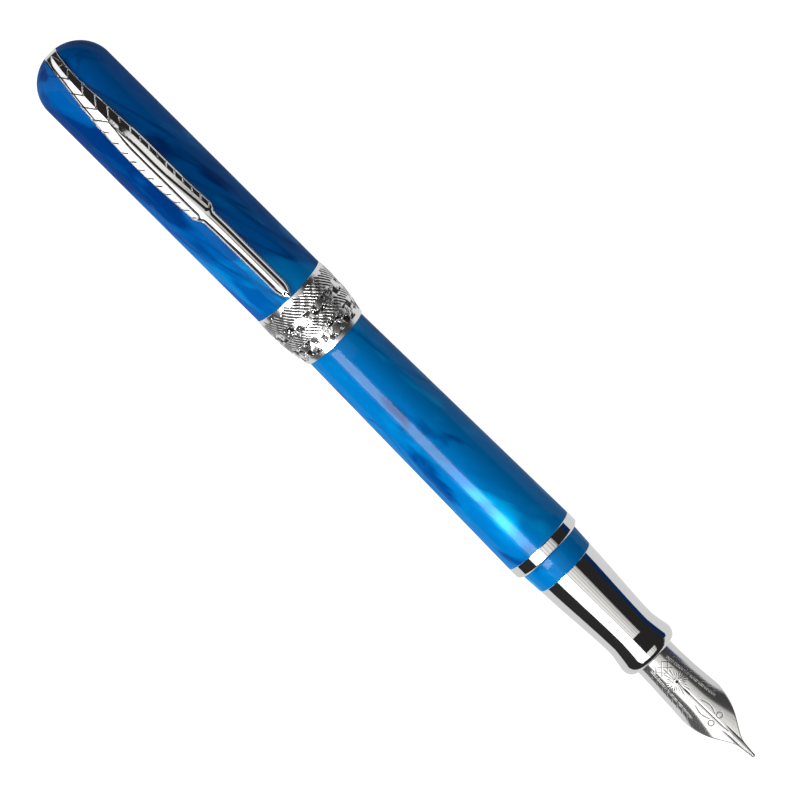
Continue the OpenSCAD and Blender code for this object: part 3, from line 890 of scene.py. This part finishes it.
def nib_ornament(x, y, edge):
    """Depth of the engraving, 0 to 1: inner border lines, a sunburst round the vent, fans and curls."""
    dx, side = x - VENT_X, np.abs(y)

    def reached(value, start, soft):
        return smoothstep((value - start) / soft)

    far, angle = np.hypot(dx, y), np.arctan2(y, dx)
    reach = 1.7 + 1.5 * np.abs(np.cos(angle * 2)) ** 3
    rays = reached(np.abs(np.cos(angle * 12)), 0.84, 0.10) * reached(reach - far, 0, 0.3)
    rays = rays * reached(far, 0.40, 0.1)
    border_y = 2.35 + 0.10 * dx - 0.5 * reached(dx, 6, 5)
    border = reached(0.08 - np.abs(side - border_y), 0, 0.04)
    border = np.maximum(border, reached(0.05 - np.abs(side - border_y + 0.28), 0, 0.03))
    border = border * reached(dx, -4.4, 0.2) * reached(6.6 - dx, 0, 0.4)
    lattice = np.maximum(np.abs(np.sin(2.2 * (dx + side))), np.abs(np.sin(2.2 * (dx - side))))
    lattice = reached(lattice, 0.975, 0.015) * reached(-2.2 - dx, 0, 0.2) * reached(dx, -4.4, 0.2)
    lattice = lattice * reached(border_y - side, 0, 0.1)
    fan = np.abs(np.sin(2.4 * (dx - 0.9 * (side - border_y))))
    fan = reached(0.20 - fan, 0, 0.10) * reached(side, border_y, 0.05)
    fan = fan * reached(border_y + 0.9 - side, 0, 0.05)
    fan = fan * reached(dx, -3.6, 0.3) * reached(6.2 - dx, 0, 0.4)
    curl = np.abs(np.hypot(dx - 9.2, side - 1.0) - 0.5)
    curl = reached(0.10 - curl, 0, 0.05)
    leaf = np.abs(side - 0.65 - 0.45 * np.sin(np.clip((dx - 5.0) / 3.4, 0, 1) * math.pi))
    leaf = reached(0.09 - leaf, 0, 0.05) * reached(dx, 5.0, 0.2) * reached(8.6 - dx, 0, 0.2)
    drawn = np.maximum.reduce([0.95 * rays, border, 0.9 * lattice, 0.9 * fan, curl, leaf])
    return drawn * reached(edge, 0.25, 0.1) * reached(x, RIM_X + 0.5, 0.3)


def nib_half(side, x, first):
    """Half of the blade on one side of the slit: its points, faces and how dark each point is painted,
    by engraving and by painted shade lines.
    """
    arch = nib_arch(x)
    reach = np.arcsin(np.minimum(1, nib_half_width(x) / arch)) * np.where(x < RIM_X, 0.93, 0.985)
    open_by = SLIT_HALF * smoothstep((x - VENT_X) / 0.15) / arch
    vent = np.sqrt(np.clip(VENT_R ** 2 - (x - VENT_X) ** 2, 0, None)) / arch
    inner = np.maximum(open_by, vent)
    share = np.linspace(0, 1, NIB_COLS)
    phi = inner[:, None] + (reach - inner)[:, None] * share[None, :]
    gx = np.repeat(x[:, None], NIB_COLS, 1)
    flat_y = arch[:, None] * phi
    edge = (reach[:, None] - phi) * arch[:, None]

    cut = nib_ornament(gx, flat_y * side, edge)
    keel = smoothstep((gx - RIM_X - KEEL_FROM) / 3.0) * np.clip(1 - flat_y / 0.62, 0, 1) ** 0.9
    # Painted shade: a dark line along the foot of the ridge over the slit, and one along the tines'
    # outer edges.
    keel_foot_shade = smoothstep((gx - RIM_X - KEEL_FROM) / 2.0) * np.exp(-((flat_y - 0.58) / 0.10) ** 2)
    edge_shade_line = smoothstep((0.20 - edge) / 0.10) * smoothstep((gx - SHOULDER_X) / 3.0)
    cut = np.maximum(cut, np.maximum(0.8 * keel_foot_shade, 0.7 * edge_shade_line))
    valley = np.exp(-(flat_y / 0.20) ** 2) * smoothstep((gx - VENT_X) / 1.0) * (1 - keel)
    rise = 0.22 * keel - 0.045 * cut - 0.05 * valley
    centre = nib_crown(x)[:, None] - arch[:, None]
    thinned = np.clip((NIB_END_X - gx) / 4.0, 0.35, 1)

    def sheet(radius):
        points = [gx, side * radius * np.sin(phi), AXIS_Z + centre + radius * np.cos(phi)]
        return np.stack(points, -1).reshape(-1, 3)

    points = [sheet(arch[:, None] + rise), sheet(arch[:, None] - NIB_T * thinned)]
    return points, nib_half_faces(inner, first, flip=side > 0), [cut.reshape(-1), 0 * cut.reshape(-1)]


def nib_half_faces(inner, first, flip):
    """The faces of half a blade: both sheets, the walls of its slit and rim, and its two ends."""
    rows, n = len(inner), len(inner) * NIB_COLS
    faces = grid_faces(rows, NIB_COLS, first=first, flip=flip)
    faces += grid_faces(rows, NIB_COLS, first=first + n, flip=not flip)
    for i in range(rows - 1):
        joined = inner[i] < 1e-9 and inner[i + 1] < 1e-9
        for j in (() if joined else (0,)) + (NIB_COLS - 1,):
            a, b = first + i * NIB_COLS + j, first + (i + 1) * NIB_COLS + j
            faces.append((a, b, n + b, n + a) if (j == 0) == flip else (b, a, n + a, n + b))
    for j in range(NIB_COLS - 1):
        for i in (0, rows - 1):
            a, b = first + i * NIB_COLS + j, first + i * NIB_COLS + j + 1
            faces.append((a, b, n + b, n + a) if (i == 0) != flip else (b, a, n + a, n + b))
    return faces


def make_nib():
    """The nib: an arched blade with shoulders, a slit, a vent hole and engraving cut into its face."""
    tail = np.linspace(nib_low.x, RIM_X, TAIL_ROWS)[:-1]
    x = np.concatenate([tail, np.linspace(RIM_X, NIB_END_X, BLADE_ROWS)])
    points, faces, cuts = [], [], []
    for side in (-1, 1):
        half_points, half_faces, half_cuts = nib_half(side, x, sum(map(len, points)))
        points += half_points
        faces += half_faces
        cuts += half_cuts
    points = np.concatenate(points)
    nib = new_object("nib_blade", points, faces, "nib_unit", NIB_STEEL)
    # The painted "cut" holds the engraving and the painted shade lines along the keel's foot and the
    # tines' edges.
    paint_by_place(nib, points, np.concatenate(cuts))
    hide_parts("nib")


def paint_by_place(piece, points, values):
    """Paints a mesh whose seams were joined, by looking each vertex up by its place."""
    found = {tuple(np.round(p, 4)): v for p, v in zip(points, values)}
    co = np.empty(len(piece.data.vertices) * 3)
    piece.data.vertices.foreach_get("co", co)
    keys = np.round(co.reshape(-1, 3) / MM, 4)
    paint(piece, "cut", [found.get(tuple(k), 0.0) for k in keys])


# ---------------------------------------------------------------- stage

def emitter(name, colour, strength):
    """A plain glowing material."""
    material = bpy.data.materials.new(name)
    material.use_nodes = True
    nodes = material.node_tree.nodes
    nodes.remove(nodes["Principled BSDF"])
    light = nodes.new("ShaderNodeEmission")
    light.inputs["Color"].default_value = (*colour, 1)
    light.inputs["Strength"].default_value = strength
    material.node_tree.links.new(light.outputs[0], nodes["Material Output"].inputs["Surface"])
    return material


def only_for(piece, camera=False, glossy=False):
    """Shows a stage piece to the camera or in reflections only, and never lets it cast a shadow."""
    piece.visible_camera = camera
    piece.visible_glossy = glossy
    piece.visible_diffuse = False
    piece.visible_transmission = glossy
    piece.visible_volume_scatter = False
    piece.visible_shadow = False


VIEW_TILT = math.radians(9)
VIEW_ROLL = math.radians(6)


def view_direction():
    """From the pen to the camera: above it, a little towards the cap's end and to +Y."""
    back = (-math.sin(VIEW_TILT), math.sin(VIEW_ROLL), math.cos(VIEW_TILT) * math.cos(VIEW_ROLL))
    return Vector(back).normalized()


def card(name, start, end, colour, strength=1.0, radius=420.0, rear=-750.0, front=750.0):
    """A long curved card round the pen, seen only in reflections. Angles start at the camera's side."""
    steps = max(2, int(abs(end - start) / 4) + 1)
    angles = np.radians(np.linspace(start, end, steps)) - VIEW_ROLL
    outline = [(-radius * math.sin(a), AXIS_Z + radius * math.cos(a)) for a in angles]
    screen(name, outline, rear, front, colour, strength)


def screen(name, outline, rear, front, colour, strength=1.0):
    """A card of a given outline, (y, z), running along the pen from rear to front."""
    steps = len(outline)
    points = [(x, y, z) for x in (rear, front) for y, z in outline]
    faces = [(i, i + 1, steps + i + 1, steps + i) for i in range(steps - 1)]
    piece = new_object(name, points, faces, None, emitter(name, colour, strength))
    only_for(piece, glossy=True)


def screen_across(name, x, height, colour, low=-150, high=150):
    """An upright card across the line of the pen, from y low to y high."""
    points = [(x, low, 0), (x, high, 0), (x, high, height), (x, low, height)]
    piece = new_object(name, points, [(0, 1, 2, 3)], None, emitter(name, colour, 1.0))
    only_for(piece, glossy=True)


def make_cards():
    """The studio round the pen: a softbox and dark flags that give polished metal its bands."""
    white, pale, dark = (1.0, 0.99, 0.98), (1.1, 1.09, 1.08), (0.02, 0.02, 0.02)
    fill_start, fill_end = -29, 12.5
    near_r = 45
    back_x = -500
    card("softbox", fill_end, 62, white, 1.7)
    card("softbox_barrel", 18, 45, white, 18.0, radius=near_r, rear=LIP_X + 5.5, front=48.5)
    card("flag_high", -76, fill_start, (0.022, 0.021, 0.020))
    screen("flag_low", [(-32, 6), (-36, 41)], -300, 300, (0.028, 0.027, 0.028))
    screen("flag_blue", [(32, 5.5), (34, 16.5)], ring_low.x + 2, RIM_X + 11, (0.004, 0.022, 0.085))
    screen_across("flag_front", 240, 180, dark)
    screen_across("flag_crown", CROWN_X - 10.4, 12, dark, low=-3)
    screen_across("fill_crown", CROWN_X - 11.4, 40, pale, high=-3)
    card("flag_waist", fill_start, fill_end, dark, radius=100, rear=LIP_X + 15, front=53)
    screen_across("fill_rear", back_x, 900, pale, low=-900, high=-5)
    screen_across("flag_back", back_x, 900, dark, low=-5, high=900)
    card("flag_rear", fill_start, fill_end, dark, radius=440, front=0)
    greys = [
        (-29, -24.5, 0.40), (-24.5, -19, 0.70), (-19, -17, 0.25), (-17, -9.5, 0.80), (-9.5, -8, 0.30),
        (-8, 2, 0.90), (2, 3.2, 0.35), (3.2, 11, 0.98), (11, 12.5, 0.10),
    ]
    for index, (start, end, grey) in enumerate(greys):
        tint = (grey, grey * 0.985, grey * 0.94)
        card(f"fill_{index}", start, end, tint, rear=-40)
        card(
            f"fill_ring_{index}", start, end, tint, radius=near_r,
            rear=ring_low.x + 5.7, front=ring_high.x + 6.4,
        )


def make_room():
    """A pale floor under the pen and a plain backdrop far round it.

    The floor is two sheets: the one that is seen is bright, the one that metal reflects is greyer.
    """
    size = 14000
    seen_glow, mirrored_glow, far_glow = 0.95, 0.74, 0.96
    corners = [(-size, -size, 0), (size, -size, 0), (size, size, 0), (-size, size, 0)]
    t = Tree("floor")
    mottle = t.noise(t.place((30, 30, 30)), 1.0, 3)
    t.set(Base_Color=t.blend(mottle, (0.26, 0.26, 0.26), (0.28, 0.28, 0.28)))
    t.set(Roughness=0.9, Emission_Color=(1, 1, 1, 1), Emission_Strength=seen_glow)
    floor = new_object("floor", corners, [(0, 1, 2, 3)], None, t.material)
    only_for(floor, camera=True)
    grey = emitter("floor_mirrored", (1, 1, 1), mirrored_glow)
    mirror = new_object("floor_mirrored", corners, [(0, 1, 2, 3)], None, grey)
    only_for(mirror, glossy=True)
    points, steps = [], 48
    for z in (-50, size):
        for j in range(steps):
            a = 2 * math.pi * j / steps
            points.append((size * math.cos(a), size * math.sin(a), z))
    pale = emitter("backdrop", (1, 1, 1), far_glow)
    walls = new_object("backdrop", points, grid_faces(2, steps, wrap=True), None, pale)
    only_for(walls, camera=True)


def area_light(name, place, size, power):
    """A soft light at a place in metres, turned towards the pen and not seen in reflections."""
    data = bpy.data.lights.new(name, "AREA")
    data.shape = "RECTANGLE"
    data.size, data.size_y = size
    data.energy = power
    light = bpy.data.objects.new(name, data)
    light.location = place
    light.rotation_euler = (-Vector(place)).to_track_quat("-Z", "Y").to_euler()
    light.visible_glossy = False
    bpy.context.scene.collection.objects.link(light)


def make_lights():
    """A faint sky and two soft lights. Most of the light on metal comes from the cards."""
    world = bpy.data.worlds.new("studio")
    world.use_nodes = True
    world.node_tree.nodes["Background"].inputs["Color"].default_value = (0.95, 0.97, 1.0, 1)
    world.node_tree.nodes["Background"].inputs["Strength"].default_value = 0.27
    bpy.context.scene.world = world
    area_light("key", (-0.1, -0.80, 0.55), (1.4, 0.6), 11)
    area_light("top", (0.1, 0.0, 1.1), (1.0, 1.0), 3.2)


LENS = 1000
VIEW_WIDTH = 131
PEN_SLANT = 44.94  # degrees from level, down to the right
AIM_BACK, AIM_SIDE = 1.05, 0.3


def make_camera():
    """A long lens over the pen, turned so that the pen runs down to the right across the frame."""
    low, high = cad_bounds
    back = view_direction()
    along = Vector((1, 0, 0))
    along = (along - back * along.dot(back)).normalized()
    across = back.cross(along)
    slant = math.radians(PEN_SLANT)
    right = along * math.cos(slant) + across * math.sin(slant)
    up = across * math.cos(slant) - along * math.sin(slant)
    data = bpy.data.cameras.new("camera")
    data.lens = LENS
    data.sensor_width = 36
    distance = VIEW_WIDTH * MM * data.lens / data.sensor_width
    camera = bpy.data.objects.new("camera", data)
    aim = Vector(((low.x + high.x) / 2 - AIM_BACK * MM, AIM_SIDE * MM, AXIS_Z * MM))
    basis = Matrix((right, up, back)).transposed().to_4x4()
    camera.matrix_world = Matrix.Translation(aim + back * distance) @ basis
    data.clip_start, data.clip_end = 0.01, 50
    bpy.context.scene.collection.objects.link(camera)
    bpy.context.scene.camera = camera


finish_cad_nodes()
make_cap()
make_band()
make_clip()
make_barrel()
make_grip()
make_nib()
make_cards()
make_room()
make_lights()
make_camera()
bpy.context.scene.view_settings.view_transform = "Standard"
